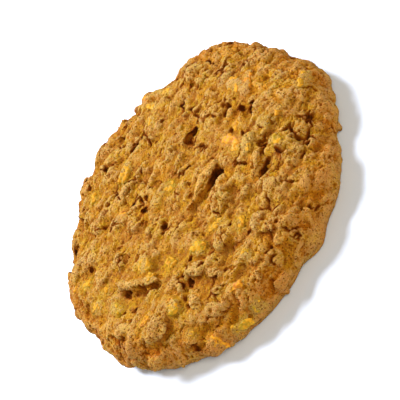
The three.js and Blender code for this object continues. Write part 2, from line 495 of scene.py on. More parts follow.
# %% Model the blocks
def model_block(seed):
    """A rounded block of apple, one unit in half length."""
    bpy.ops.mesh.primitive_cube_add(size=2.0)
    block = bpy.context.object
    open_mesh(block)
    bpy.ops.mesh.subdivide(number_cuts=3)
    bpy.ops.transform.vertex_random(offset=0.60, seed=seed)
    bpy.ops.mesh.vertices_smooth(factor=0.5, repeat=4)
    bpy.ops.object.mode_set(mode="OBJECT")
    modify(block, "SUBSURF", levels=1, render_levels=1)
    return block


blocks = [model_block(seed) for seed in (4, 9, 15)]
print("one block has", len(blocks[0].data.polygons), "faces")

# %% [markdown]
# ## Ridges and pits with places of their own
# The largest ridges and the deepest pits were read off the photograph too, so they stand in two
# tables. Everything smaller is spread by chance. A ridge is a lump that stands out, and a pit is
# cut after the heap has become one skin.

# %% List the ridges and the pits
# x, y, length, width (mm), turn (degrees), how far it stands out (mm)
RIDGES = (
    (4.2, -8.4, 12.8, 2.7, 5, 0.7), (4.8, -12.4, 11.0, 2.6, 5, 0.7), (13.2, -18.6, 7.8, 3.0, 35, 0.8),
    (23.7, -9.2, 7.2, 4.2, -11, 0.7), (21.6, -4.8, 6.3, 2.0, 37, 0.6), (15.9, 14.3, 5.7, 4.1, 14, 0.7),
    (3.4, -15.1, 6.9, 6.2, 65, 0.5), (7.2, -20.2, 5.2, 3.6, -7, 0.4), (11.2, -25.4, 3.8, 3.7, 3, 0.7),
    (-13.0, -19.8, 6.4, 4.1, -53, 1.0), (-10.9, -26.2, 4.4, 3.7, -87, 0.8),
    (-13.9, -29.0, 4.4, 3.3, -34, 0.6), (-22.1, -7.0, 13.4, 3.0, -58, 0.7),
    (-9.8, -0.1, 5.8, 5.8, -28, 0.5), (-10.2, 20.0, 4.8, 4.4, 56, 0.4), (6.0, 34.1, 4.2, 2.4, -49, 0.4),
    (20.7, -1.7, 4.3, 2.6, 52, 0.5), (29.9, -12.4, 3.6, 3.1, -88, 0.5), (-28.4, -18.8, 7.6, 5.0, -47, 0.6),
    (-33.3, -8.7, 6.9, 2.5, -53, 0.6), (-35.4, -1.4, 6.6, 2.9, -48, 0.4), (-18.4, -25.3, 3.4, 3.1, 58, 0.6),
    (-17.6, -30.5, 3.2, 3.2, 71, 0.6), (-4.6, -22.9, 6.4, 4.0, 78, 0.9), (1.0, -8.6, 9.5, 2.0, -11, 0.4),
    (6.0, 8.6, 3.6, 3.2, -2, 0.5), (21.6, 9.7, 4.9, 3.6, 63, 0.5), (16.3, -31.5, 4.7, 4.5, 81, 0.4),
    (25.5, -27.0, 4.0, 3.9, 17, 0.5), (-17.9, -34.6, 4.3, 2.7, -29, 0.5), (-0.6, -33.0, 4.7, 3.1, -4, 0.5),
    (2.9, -36.4, 3.9, 2.5, -12, 0.4), (2.3, 10.1, 7.3, 2.5, 88, 0.4), (-17.8, 17.7, 4.4, 3.6, -22, 0.4),
    (-17.1, 24.9, 5.6, 4.0, 68, 0.35), (29.2, -4.0, 5.5, 2.5, 86, 0.4), (33.4, -2.0, 6.9, 2.9, 87, 0.4),
    (33.2, 16.5, 5.4, 3.0, -87, 0.4), (-21.5, -20.2, 4.3, 2.0, -83, 0.3),
)
# x, y, length, width (mm), turn (degrees), depth (mm)
PITS = (
    (4.0, -10.1, 10.2, 0.6, 5, 1.9), (7.8, -10.3, 2.8, 1.0, 4, 1.9), (13.0, -21.0, 5.6, 1.9, 22, 1.9),
    (14.9, -20.4, 2.8, 2.3, 11, 2.0), (13.3, -27.9, 4.9, 1.0, 55, 1.3), (10.9, 7.5, 2.6, 2.0, 12, 2.0),
    (12.4, 7.3, 3.4, 0.9, -29, 1.5), (15.4, 7.2, 5.1, 1.1, 62, 1.1), (9.2, 4.5, 1.5, 0.9, 74, 1.0),
    (8.4, 13.4, 2.9, 2.7, -6, 1.1), (16.1, 16.5, 3.3, 2.5, 6, 1.4), (18.9, 17.9, 2.4, 2.1, 69, 1.1),
    (22.3, 16.4, 2.5, 2.4, 70, 1.2), (28.8, 16.6, 4.9, 2.4, 88, 1.2), (28.6, 9.0, 2.8, 1.8, -21, 1.3),
    (26.0, 8.3, 1.6, 1.5, 46, 1.1), (28.6, -2.0, 7.2, 1.1, 52, 1.2), (24.6, -5.6, 5.6, 1.7, -34, 1.9),
    (26.9, -9.7, 3.6, 0.8, -70, 1.0), (15.8, -2.4, 2.5, 0.9, 0, 1.2), (12.5, -6.2, 2.6, 0.9, 60, 1.4),
    (13.0, -2.0, 1.4, 1.0, -76, 0.9), (18.1, 2.6, 1.1, 1.0, 78, 1.0), (25.4, -15.0, 3.6, 0.9, -8, 1.2),
    (21.3, -13.5, 4.3, 0.8, -66, 1.1), (27.7, -22.4, 3.1, 1.1, 26, 1.3), (24.0, -24.4, 4.8, 0.9, 32, 0.9),
    (21.0, -27.0, 2.2, 0.8, 48, 0.9), (32.8, -22.4, 3.5, 2.4, 32, 0.8), (2.7, 4.4, 2.3, 1.1, 1, 1.7),
    (0.8, 5.8, 2.6, 0.8, -63, 0.9), (4.6, 0.6, 3.3, 0.9, -3, 1.7), (7.0, 0.8, 1.8, 0.8, 36, 1.0),
    (-1.2, 7.8, 2.2, 1.9, 84, 0.9), (0.1, 15.1, 1.3, 0.9, -65, 0.8), (-5.6, 8.4, 5.0, 0.8, -46, 1.2),
    (-8.4, 11.3, 2.8, 1.5, -40, 1.8), (-8.9, 14.3, 1.6, 1.1, 83, 1.1), (-7.1, 0.8, 1.6, 1.1, -43, 1.0),
    (-9.8, -7.9, 2.1, 1.3, -17, 1.3), (-7.8, -10.9, 2.7, 1.0, 31, 0.9), (-16.4, 13.9, 3.4, 2.7, 61, 1.1),
    (-1.2, 29.0, 2.5, 1.0, 42, 0.8), (-1.9, 14.5, 7.1, 1.6, 42, 1.2), (-16.5, -2.4, 4.2, 3.4, -32, 1.2),
    (-19.7, 2.8, 1.8, 1.6, 42, 1.2), (-26.0, -3.7, 4.9, 1.8, -56, 1.9), (-23.9, -7.5, 3.9, 1.0, -64, 1.6),
    (-20.8, -11.7, 5.4, 1.6, -51, 1.3), (-26.3, -4.6, 1.6, 1.3, -71, 1.5),
    (-28.0, -8.5, 1.7, 1.6, -42, 1.4), (-28.6, -1.0, 2.0, 0.9, -47, 1.0), (-32.8, -1.4, 6.1, 0.9, -68, 1.0),
    (-30.3, -6.0, 4.3, 1.0, -48, 1.2), (-30.4, -9.9, 3.9, 1.2, -61, 1.2),
    (-17.1, -18.6, 1.6, 1.4, -66, 1.8), (-15.9, -20.9, 2.8, 2.3, 44, 1.6),
    (-18.6, -21.2, 1.7, 1.0, 62, 1.1), (-16.8, -16.9, 2.5, 0.8, 86, 1.1), (-21.4, -24.3, 1.1, 1.0, 39, 1.1),
    (-24.3, -25.8, 1.2, 1.2, -44, 1.3), (-20.1, -22.8, 3.1, 0.8, 51, 0.8),
    (-30.6, -21.9, 3.8, 1.6, -67, 1.4), (-35.0, -10.0, 7.0, 1.0, -65, 0.9),
    (-11.8, -16.8, 4.7, 1.0, -62, 1.2), (-9.9, -20.2, 3.3, 0.9, -53, 1.2),
    (-8.1, -28.6, 2.2, 0.9, -47, 1.4), (-5.8, -30.5, 2.7, 0.8, -59, 1.1), (-9.7, -28.6, 1.7, 0.8, -86, 0.9),
    (-9.0, -33.0, 1.0, 0.8, 23, 0.9), (-15.7, -33.6, 3.2, 0.9, -31, 1.6), (-19.7, -36.9, 1.2, 1.0, 79, 1.2),
    (-15.4, -39.0, 1.4, 1.1, 71, 1.2), (-28.1, -29.5, 6.0, 1.8, -45, 1.1),
    (-2.3, -28.1, 4.3, 1.4, -30, 1.4), (0.7, -28.4, 2.5, 1.1, 40, 1.1), (4.9, -29.6, 2.9, 1.8, 53, 1.0),
    (9.5, -28.2, 1.1, 0.8, 77, 0.9), (9.8, -30.2, 0.9, 0.9, 26, 0.9), (13.4, -34.6, 1.8, 1.4, -22, 0.7),
    (7.6, -38.8, 2.1, 1.0, 24, 0.7), (-2.5, -19.0, 3.7, 0.9, -51, 0.9), (-0.5, -21.7, 2.2, 0.8, -62, 0.9),
    (-6.6, -18.9, 4.3, 0.8, 41, 1.1),
)
print(len(RIDGES), "ridges and", len(PITS), "pits")

# %% [markdown]
# ## Pressing shapes into the core
# A pressed shape is a copy with a mesh of its own, in which its size, its sink, its tilt and its
# seat are all applied at once. Its long side lies along the crust and its short side points out.
# The spiral of a sunflower spreads small things evenly, and a little chance hides the pattern.

# %% Copy a shape onto a seat, and spread spots
GOLDEN_TURN = math.pi * (3 - math.sqrt(5))
STRAY = 0.35


def press(shape, here, half_sizes, sink, tilt=0.0):
    """A copy of a shape on its seat in the crust, sunk by so many millimetres and tilted."""
    copy = bpy.data.objects.new(shape.name, shape.data.copy())
    bpy.context.scene.collection.objects.link(copy)
    size = Matrix.Diagonal((*[half * MM for half in half_sizes], 1.0))
    sunk = Matrix.Translation((0, 0, -sink * MM))
    copy.data.transform(here @ sunk @ Matrix.Rotation(tilt, 4, "Y") @ size)
    return copy


def spiral(count, reach, chance):
    """Spots spread evenly over the crust, each moved a little at random."""
    for i in range(count):
        distance = reach * math.sqrt((i + 0.5) / count)
        turn = i * GOLDEN_TURN
        stray = STRAY * reach / math.sqrt(count)
        x = distance * math.cos(turn) + chance.gauss(0, stray)
        y = distance * math.sin(turn) + chance.gauss(0, stray)
        yield x, y


# %% [markdown]
# ## Apple and ridges first
# The blocks of apple go into the heap as well, so that the dough rises round them. The slim ridges
# are also kept as a piece of their own, because later steps have to know where they are: they stay
# crisp while the rest melts, and their colour is amber, partly their own browning and partly a
# painted highlight.

# %% Press in the apple and the ridges
# shares of the width and the height in the table, and a spare length in mm
BLOCK_THICKNESS, BLOCK_RISE, BLOCK_SPARE = 0.30, 0.6, 0.1
# shares of the length, width and height in the table, then two lengths in mm
RIDGE_SPREAD, RIDGE_HEIGHT = (0.55, 0.60), 1.9
RIDGE_SINK = 0.3
SLIM = 3.2

heap = [core]
for i, (x, y, length, width, turn, out, _) in enumerate(APPLE_BITS):
    thick = BLOCK_THICKNESS * width
    sizes = (length / 2 + BLOCK_SPARE, width / 2 + BLOCK_SPARE, thick)
    here = seat(x, y, math.radians(turn))
    heap.append(press(blocks[i % len(blocks)], here, sizes, thick - BLOCK_RISE * out))
ridge_marks = []
for i, (x, y, length, width, turn, out) in enumerate(RIDGES):
    sizes = (RIDGE_SPREAD[0] * length, RIDGE_SPREAD[1] * width, RIDGE_HEIGHT * out + RIDGE_SINK)
    here = seat(x, y, math.radians(turn))
    heap.append(press(lumps[i % len(lumps)], here, sizes, RIDGE_SINK))
    if width < SLIM:
        ridge_marks.append(press(lumps[i % len(lumps)], here, sizes, RIDGE_SINK))
print(len(ridge_marks), "of the ridges are slim")

# %% [markdown]
# ## Long lumps
# The dough was dragged along the cookie as it left the spoon, which shows as long soft swells that
# lie roughly one way. Each is kept in a list, because the dough cracks beside it later. They keep
# off the ridges, the pits and the bits.

# %% Press in the long lumps
CRUST_REACH = 47.0
LONG_COUNT = 110
LONG_REACH = CRUST_REACH - 3
LONG_LENGTHS, LONG_WIDTHS, LONG_HEIGHTS = (3.6, 7.5), (1.8, 2.8), (0.35, 0.7)
LONG_TURN, LONG_TURN_SPREAD = 0.2, 0.8
LONG_SINK = 0.2
ROOM_TO_BIT, ROOM_TO_FEATURE = 1.0, 0.7

chance = random.Random(53)
long_lumps = []
for x, y in spiral(LONG_COUNT, LONG_REACH, chance):
    length, width = chance.uniform(*LONG_LENGTHS), chance.uniform(*LONG_WIDTHS)
    turn = math.degrees(chance.gauss(LONG_TURN, LONG_TURN_SPREAD))
    out = chance.uniform(*LONG_HEIGHTS)
    near_feature = any(beside(row, x, y) < ROOM_TO_FEATURE for row in (*RIDGES, *PITS))
    if near_feature or on_apple(x, y, ROOM_TO_BIT):
        continue
    long_lumps.append((x, y, length, width, turn))
    sizes = (RIDGE_SPREAD[0] * length, RIDGE_SPREAD[1] * width, out + RIDGE_SINK)
    pick = chance.randrange(len(lumps))
    heap.append(press(lumps[pick], seat(x, y, math.radians(turn)), sizes, LONG_SINK))
print("long lumps:", len(long_lumps))

# %% [markdown]
# ## Lumps between them
# Two kinds of lumps fill what is left of the crust: big ones first, then small ones that may lie
# closer to a feature. Most of each lump is under the surface.

# %% Press in the lumps
LUMP_KINDS = (
    # how many, half lengths, how far they stand out (mm), room to a feature (half widths), seed
    (45, (2.6, 4.4), (0.40, 0.80), 0.40, 17),
    (70, (1.1, 2.1), (0.20, 0.50), 0.15, 23),
)
# shares of a lump's half length
LUMP_WIDTHS, LUMP_THICKNESSES, LUMP_ROOM_TO_BIT = (0.6, 1.0), (0.45, 0.65), 0.35

for count, half_lengths, heights, room, seed in LUMP_KINDS:
    chance = random.Random(seed)
    for x, y in spiral(count, CRUST_REACH, chance):
        long = chance.uniform(*half_lengths)
        wide = long * chance.uniform(*LUMP_WIDTHS)
        thick = long * chance.uniform(*LUMP_THICKNESSES)
        out = chance.uniform(*heights)
        turn = chance.uniform(0, math.tau)
        pick = chance.randrange(len(lumps))
        near_feature = any(beside(row, x, y) < room for row in (*RIDGES, *PITS, *long_lumps))
        if math.hypot(x, y) > CRUST_REACH or near_feature or on_apple(x, y, LUMP_ROOM_TO_BIT * long):
            continue
        heap.append(press(lumps[pick], seat(x, y, turn), (long, wide, thick), thick - out))
print("pieces in the heap so far:", len(heap))

# %% [markdown]
# ## Flakes on top
# A few flakes lie on the face, each tilted so that one edge comes out of the dough. After them the
# heap is complete and is joined to one piece.

# %% Press in the flakes and join the heap
FLAKE_COUNT, FLAKE_REACH = 24, 36
FLAKE_HALF_LENGTHS, FLAKE_TILTS, FLAKE_SINKS = (1.7, 2.6), (6, 30), (0.0, 0.4)
FLAKE_STOUTNESS = 1.1
ROOM_FLAKE_TO_BIT = 0.8

chance = random.Random(41)
for x, y in spiral(FLAKE_COUNT, FLAKE_REACH, chance):
    half = chance.uniform(*FLAKE_HALF_LENGTHS)
    turn = chance.uniform(0, math.tau)
    tilt = math.radians(chance.uniform(*FLAKE_TILTS))
    sink = chance.uniform(*FLAKE_SINKS)
    if on_apple(x, y, ROOM_FLAKE_TO_BIT):
        continue
    heap.append(press(flake_shape, seat(x, y, turn), (half, half, half * FLAKE_STOUTNESS), sink, tilt))
print("pieces in the heap:", len(heap))
crumb = join("cookie_crumb", heap)
ridges = join("ridges", ridge_marks)

# %% [markdown]
# ## One skin over the heap
# The lumps still pass through each other. A voxel remesh wraps the whole heap in one closed skin,
# as baking does. Smoothing then melts the lumps together, as butter does in the oven. A vertex
# group holds it back on the slim ridges, which stay crisp.

# %% Bake the heap into one skin
HEAP_VOXEL = 0.26 * MM
CRISP = 0.2
MELT_REACH = 1.5 * MM
MELT_ROUNDS = 9

modify(crumb, "REMESH", mode="VOXEL", voxel_size=HEAP_VOXEL)
ridge_tree = search_tree(ridges)
soft = crumb.vertex_groups.new(name="soft")
for vertex in crumb.data.vertices:
    away = ridge_tree.find_nearest(vertex.co)[3]
    soft.add([vertex.index], min(1.0, CRISP + away / MELT_REACH), "REPLACE")
modify(crumb, "SMOOTH", factor=0.5, iterations=MELT_ROUNDS, vertex_group="soft")
crumb.vertex_groups.clear()
print("the skin has", len(crumb.data.polygons), "faces")

# %% [markdown]
# ## Gouges for pits and cracks
# The darkest places of the face are pits where the dough fell apart, and cracks between big clods.
# They are cut the way a baker would poke them: oval gouges stand where the pits are, beside the
# long lumps, and where steam came out in pinholes. All of them are joined to one cutter.

# %% Set the gouges
# shares of the width and depth in the table, then lengths in mm
PIT_WIDTH, PIT_DEPTH = 0.27, 0.50
PIT_SPARE, PIT_LIFT = (0.3, 0.12), 0.12
# a share of the length of the lump, then lengths in mm
CRACK_LENGTH = 0.42
CRACK_HALF_WIDTH, CRACK_DEPTH, CRACK_GAP, CRACK_LIFT = 0.27, 0.65, 0.5, 0.1
PINHOLE_COUNT, PINHOLE_ROOM_TO_BIT = 90, 0.5
PINHOLE_HALF_WIDTHS, PINHOLE_DEPTHS, PINHOLE_STRETCH = (0.14, 0.28), (0.5, 0.9), (1.0, 2.2)

skin_tree = search_tree(crumb)
gouges = []
for i, (x, y, length, width, turn, depth) in enumerate(PITS):
    here = seat(x, y, math.radians(turn), skin_tree)
    sizes = (length / 2 + PIT_SPARE[0], PIT_WIDTH * width + PIT_SPARE[1], PIT_DEPTH * depth)
    gouges.append(press(lumps[i % len(lumps)], here, sizes, -PIT_LIFT))
for x, y, length, width, turn in long_lumps:
    away = math.radians(turn) - math.pi / 2
    far = width / 2 + CRACK_GAP
    here = seat(x + far * math.cos(away), y + far * math.sin(away), math.radians(turn), skin_tree)
    sizes = (CRACK_LENGTH * length, CRACK_HALF_WIDTH, CRACK_DEPTH)
    gouges.append(press(lumps[3], here, sizes, -CRACK_LIFT))
chance = random.Random(67)
for x, y in spiral(PINHOLE_COUNT, CRUST_REACH, chance):
    half = chance.uniform(*PINHOLE_HALF_WIDTHS)
    sizes = (half * chance.uniform(*PINHOLE_STRETCH), half, chance.uniform(*PINHOLE_DEPTHS))
    turn = chance.uniform(0, math.tau)
    if not on_apple(x, y, PINHOLE_ROOM_TO_BIT):
        gouges.append(press(lumps[1], seat(x, y, turn, skin_tree), sizes, 0.0))
print("the cutter has", len(gouges), "gouges")
pit_cutter = join("pit_cutter", gouges)

# %% [markdown]
# ## Torn, not drilled
# A clean oval looks drilled. A small Geometry Nodes tree moves the points of the cutter's skin by
# noise, which leaves torn edges. A Boolean modifier then takes the cutter out of the dough, and a
# remesh makes the faces even again. Crumbs that were cut loose are separated, and they fall off.

# %% Tear the cutter
CUTTER_VOXEL = 0.2 * MM
TEAR_REACH = 2.3 * MM


def geometry_bench(name):
    """A Geometry Nodes tree with a mesh going in and a mesh coming out."""
    tree = bpy.data.node_groups.new(name, "GeometryNodeTree")
    tree.interface.new_socket("Mesh", in_out="INPUT", socket_type="NodeSocketGeometry")
    tree.interface.new_socket("Mesh", in_out="OUTPUT", socket_type="NodeSocketGeometry")
    return Bench(tree)


modify(pit_cutter, "REMESH", mode="VOXEL", voxel_size=CUTTER_VOXEL)
ragged = geometry_bench("ragged")
place = ragged.add("GeometryNodeInputPosition")
tear = (ragged.cloud(place, 1.1, detail=3.0, roughness=0.6, output=1) - 0.5) * TEAR_REACH
mesh_in = ragged.add("NodeGroupInput")
torn = ragged.add("GeometryNodeSetPosition", None, {"Geometry": mesh_in, "Offset": tear})
ragged.add("NodeGroupOutput", None, {"Mesh": torn})
modify(pit_cutter, "NODES", node_group=ragged.tree)
modify(pit_cutter, "REMESH", mode="VOXEL", voxel_size=CUTTER_VOXEL)
print("the torn cutter has", len(pit_cutter.data.polygons), "faces")

# %% Cut the pits and drop the scraps
CRUMB_VOXEL = 0.2 * MM

modify(crumb, "BOOLEAN", operation="DIFFERENCE", solver="MANIFOLD", object=pit_cutter)
for shape in (pit_cutter, *lumps, flake_shape):
    bpy.data.objects.remove(shape)
modify(crumb, "REMESH", mode="VOXEL", voxel_size=CRUMB_VOXEL)
open_mesh(crumb)
bpy.ops.mesh.separate(type="LOOSE")
bpy.ops.object.mode_set(mode="OBJECT")
parts = sorted(bpy.context.selected_objects, key=lambda part: len(part.data.vertices))
crumb = parts.pop()
for scrap in parts:
    bpy.data.objects.remove(scrap)
crumb.name = "cookie_crumb"
modify(crumb, "SMOOTH", factor=0.5, iterations=3)
print("after the pits the skin has", len(crumb.data.polygons), "faces;", len(parts), "scraps were dropped")

# %% [markdown]
# ## Baked apple is wrinkled
# Apple loses water in the oven, and its flesh shrinks into folds and pocks. Noise and a pattern of
# small cells move each point of a bit along its normal. It is done in Geometry Nodes and not in
# the material, so that the wrinkles are real and catch the light. A helper keeps everything above
# the tray.

# %% Wrinkle the flesh
WRINKLE_HEIGHT, POCK_HEIGHT = 2.6, 0.30
CLOD_MEAN = 0.24


def above_tray(bench, mesh):
    """A mesh whose points below the tray are lifted up to it."""
    low = bench.add("GeometryNodeInputPosition")
    flat = bench.add("ShaderNodeVectorMath", {"operation": "MAXIMUM"}, {0: low, 1: (-1.0, -1.0, 0.0)})
    return bench.add("GeometryNodeSetPosition", None, {"Geometry": mesh, "Position": flat})


flesh_relief = geometry_bench("flesh_relief")
place = flesh_relief.add("GeometryNodeInputPosition")
wrinkle = flesh_relief.cloud(place, 1.5, detail=4.0, roughness=0.6) - 0.5
pock = flesh_relief.clods(place, 0.8)
swell = wrinkle * WRINKLE_HEIGHT + (CLOD_MEAN - pock * pock) * POCK_HEIGHT
lift = flesh_relief.add("GeometryNodeInputNormal") * (swell * MM)
mesh_in = flesh_relief.add("NodeGroupInput")
wrinkled = flesh_relief.add("GeometryNodeSetPosition", None, {"Geometry": mesh_in, "Offset": lift})
flesh_relief.add("NodeGroupOutput", None, {"Mesh": above_tray(flesh_relief, wrinkled)})

# %% [markdown]
# ## Bits in the dough
# The bits were in the heap already, so the dough has risen round them. Here the apple itself is
# laid in at the same places, flush with the crust, and each bit carries its tint as an attribute.
# All bits become one piece.

# %% Sink the bits into the crumb
APPLE_TINTS = {
    "yellow": (0.315, 0.185, 0.009),
    "green": (0.285, 0.185, 0.006),
    "toasted": (0.40, 0.138, 0.008),
    "amber": (0.35, 0.155, 0.008),
    "pale": (0.43, 0.265, 0.038),
    "skin": (0.42, 0.18, 0.040),
}
BIT_SPREAD = 0.46

skin_tree = search_tree(crumb)
bits = []
for i, (x, y, length, width, turn, _, kind) in enumerate(APPLE_BITS):
    thick = BLOCK_THICKNESS * width
    here = seat(x, y, math.radians(turn), skin_tree)
    bit = press(blocks[i % len(blocks)], here, (BIT_SPREAD * length, BIT_SPREAD * width, thick), thick)
    tint = bit.data.attributes.new("tint", "FLOAT_COLOR", "POINT")
    tint.data.foreach_set("color", [*APPLE_TINTS[kind], 1.0] * len(bit.data.vertices))
    bits.append(bit)
apple = join("apple_bits", bits)
modify(apple, "SUBSURF", levels=1, render_levels=1)
modify(apple, "NODES", node_group=flesh_relief.tree)
for block in blocks:
    bpy.data.objects.remove(block)
take(apple)
bpy.ops.object.shade_smooth()
print("the apple bits have", len(apple.data.polygons), "faces")

# %% [markdown]
# ## The grain of the crumb
# Below the size of a lump, the crust rolls and crumbles: soft swells five millimetres wide, clods
# with seams between them, cracks in some patches, meal, and pores as fine as a pin. Geometry Nodes
# move each point along its normal by a height that is the sum of all these. The noise is stretched
# along the cookie, because the dough was dragged that way, and two more clouds push it about, so
# that no seam runs straight. The grain is calmer on the rim, beside the slim ridges and round the
# apple, and it stops above the foot, which baked flat on the tray.

# %% Lay out the noise
STREAK = (0.66, 1.05, 1.0)


def part_of(bench, vector, index):
    """One of the three numbers of a vector: 0 for x, 1 for y, 2 for z."""
    return bench.add("ShaderNodeSeparateXYZ", None, {0: vector}, index)


def calm(least, far):
    """How strong the grain is near something: least beside it, and all of it where far is 1."""
    return least + (1 - least) * far


grain = geometry_bench("grain")
place = grain.add("GeometryNodeInputPosition")
normal = grain.add("GeometryNodeInputNormal")
wander = (grain.cloud(place, 6.0, detail=2.0, output=1) - 0.5) * (5.0 * MM)
pull = (grain.cloud(place, 1.8, detail=3.0, roughness=0.6, output=1) - 0.5) * (2.8 * MM)
streaky = place * STREAK
strayed = streaky + wander + pull
print("the noise is stretched", round(STREAK[1] / STREAK[0], 2), "to 1 along the cookie")

# %% Model swells, clods and cracks
CLODS = (
    # size, own height, dome, depth of the seam, width of the seam (mm)
    (3.6, 0.42, 0.36, 0.18, 0.60),
    (1.6, 0.08, 0.10, 0.06, 0.30),
)
CRACKS = (
    # size of the clods, half width, size of a patch (mm), how rare a patch is, depth (mm)
    (4.6, 0.30, 5.0, 0.515, 0.95),
    (2.6, 0.24, 3.5, 0.56, 0.38),
)


def swell_layer(size, detail, height):
    """Soft swells and hollows, each up to about half of height."""
    return (grain.cloud(streaky, size, detail=detail) - 0.5) * height


def clod_layer(size, step, dome, seam, seam_width):
    """Clods that fill the crust side by side: each has a height of its own, a rounded top and a seam."""
    own_height = part_of(grain, grain.clods(strayed, size, output=1), 0) - 0.5
    near = grain.clods(strayed, size)
    gap = 1 - grain.clods(strayed, size, "DISTANCE_TO_EDGE").between(0.0, seam_width / size)
    return own_height * step + (CLOD_MEAN - near * near) * dome - gap * seam


def crack_layer(size, half_width, patch, rare, depth):
    """Cracks along the seams of clods, only in some patches of the crust: the rarer, the fewer."""
    open_here = grain.cloud(place, patch, detail=2.0).between(rare, rare + 0.10)
    seam = 1 - grain.clods(strayed, size, "DISTANCE_TO_EDGE").between(0.0, half_width / size)
    return seam * open_here * depth


rolling = swell_layer(size=5.0, detail=1.0, height=3.4)
middling = swell_layer(size=3.4, detail=1.0, height=1.5) + swell_layer(size=1.7, detail=2.0, height=0.55)
clods = clod_layer(*CLODS[0]) + clod_layer(*CLODS[1])
cracks = crack_layer(*CRACKS[0]) + crack_layer(*CRACKS[1])
meal = (grain.cloud(place, 0.9, detail=4.0, roughness=0.65) - 0.5) * 0.50
pores = (1 - grain.cloud(place, 1.1, detail=2.0).between(0.36, 0.45)) * 0.28

# %% Calm the grain where it has to be, and raise it
SIDEWAYS = 0.12


def away_from(piece, near, far):
    """0 up to near millimetres from a piece, 1 from far millimetres on."""
    here = grain.add("GeometryNodeObjectInfo", None, {"Object": piece}, "Geometry")
    distance = grain.add("GeometryNodeProximity", None, {"Geometry": here}, "Distance")
    return distance.between(near * MM, far * MM)


beside_ridge = calm(0.50, away_from(ridges, 0.15, 0.9))
beside_bit = calm(0.40, away_from(apple, 0.0, 1.6))
on_rim = calm(0.55, part_of(grain, place, 2).between(1.5 * MM, 9.0 * MM))
soft_side = calm(0.50, part_of(grain, place, 0).between(-30 * MM, -8 * MM))
above_foot = part_of(grain, place, 2).between(0.3 * MM, 1.6 * MM)
patchy = 0.55 + 0.50 * grain.cloud(place, 9.0, detail=1.0).between(0.38, 0.60)
coarse = rolling + (middling + clods * patchy - cracks) * beside_ridge * soft_side
height = (coarse + meal - pores) * on_rim
lift = (normal * (height * MM) + pull * SIDEWAYS) * above_foot * beside_bit
mesh_in = grain.add("NodeGroupInput")
raised = grain.add("GeometryNodeSetPosition", None, {"Geometry": mesh_in, "Offset": lift})
grain.add("NodeGroupOutput", None, {"Mesh": above_tray(grain, raised)})
modify(crumb, "NODES", node_group=grain.tree)
print("the crumb now spans", [round(side * 1000, 2) for side in crumb.dimensions], "mm")

# %% [markdown]
# ## Fewer faces, most of them where they show
# The flat underside needs few faces, and the crust needs most of them. The faces that lie on the
# tray are selected by their place and their normal, after everything is deselected in face mode,
# and thinned in edit mode. The Decimate modifier then brings the whole piece under two hundred
# thousand triangles.

# %% Thin the mesh
MOST_TRIANGLES = 190000
TRAY_GAP = 0.15 * MM
FACING_DOWN = -0.9
KEPT_ON_TRAY = 0.06

open_mesh(crumb, "DESELECT")
bpy.ops.mesh.select_mode(type="FACE")
bpy.ops.object.mode_set(mode="OBJECT")
for polygon in crumb.data.polygons:
    polygon.select = polygon.center.z < TRAY_GAP and polygon.normal.z < FACING_DOWN
print("faces on the tray:", sum(polygon.select for polygon in crumb.data.polygons))
bpy.ops.object.mode_set(mode="EDIT")
bpy.ops.mesh.decimate(ratio=KEPT_ON_TRAY)
bpy.ops.object.mode_set(mode="OBJECT")
triangles = sum(len(polygon.vertices) - 2 for polygon in crumb.data.polygons)
print("with a thin underside the crumb has", triangles, "triangles")
modify(crumb, "DECIMATE", ratio=min(1.0, MOST_TRIANGLES / triangles))
for vertex in crumb.data.vertices:
    vertex.co.z = max(vertex.co.z, 0.0)
take(crumb)
bpy.ops.object.shade_smooth()
print("the crumb has", len(crumb.data.polygons), "faces")

# %% [markdown]
# ## Measuring how open each point lies
# A crack looks dark in a photograph because little light finds its way in. Sixteen short rays
# leave every point. One that meets no dough counts as a whole, and one that meets it late counts
# up to a half. Their mean is the point's openness. The ways are drawn evenly in a ball, and each
# is then bent outwards by the point's normal. The openness is kept as an attribute of the mesh, so
# the dark colour stays in the cracks from every side.

# %% Look how open each point lies
RAYS = 16
RAY_REACH = 4.0 * MM
RAY_LIFT = 0.05 * MM
OUTWARD_SHARE = 1.02
SHORTEST_WAY = 0.3

chance = random.Random(5)
directions = []
while len(directions) < RAYS:
    way = Vector((chance.uniform(-1, 1), chance.uniform(-1, 1), chance.uniform(-1, 1)))
    if SHORTEST_WAY < way.length < 1:
        directions.append(way.normalized())
baked_tree = search_tree(crumb)
openness = crumb.data.attributes.new("openness", "FLOAT", "POINT")
for vertex, item in zip(crumb.data.vertices, openness.data):
    start = vertex.co + vertex.normal * RAY_LIFT
    clear = 0.0
    for way in directions:
        ray = (way + vertex.normal * OUTWARD_SHARE).normalized()
        hit = baked_tree.ray_cast(start, ray, RAY_REACH)
        clear += 1.0 if hit[0] is None else 0.5 * hit[3] / RAY_REACH
    item.value = clear / RAYS
print("looked in", RAYS, "directions from each of", len(crumb.data.vertices), "points")

# %% [markdown]
# ## Measuring crests and hollows
# Crests get a pale painted highlight and hollows a dark painted shade, so the colours need to know
# which is which.
# Blurring the places of the points gives a smoothed cookie. How far a point stands above it along
# its normal is kept as an attribute, once for the grains and once for the lumps. The openness is
# blurred a little as well, because sixteen rays leave it spotty.

# %% Store how high each point stands
BLUR_ROUNDS = {"grain_height": 8, "lump_height": 160}


def standing(bench, place, normal, rounds):
    """How far a point stands above its blurred surroundings, in millimetres."""
    blurred = bench.add("GeometryNodeBlurAttribute", {"data_type": "FLOAT_VECTOR"},
                        {"Value": place, "Iterations": rounds})
    step = {0: place - blurred, 1: normal}
    return bench.add("ShaderNodeVectorMath", {"operation": "DOT_PRODUCT"}, step, 1) / MM


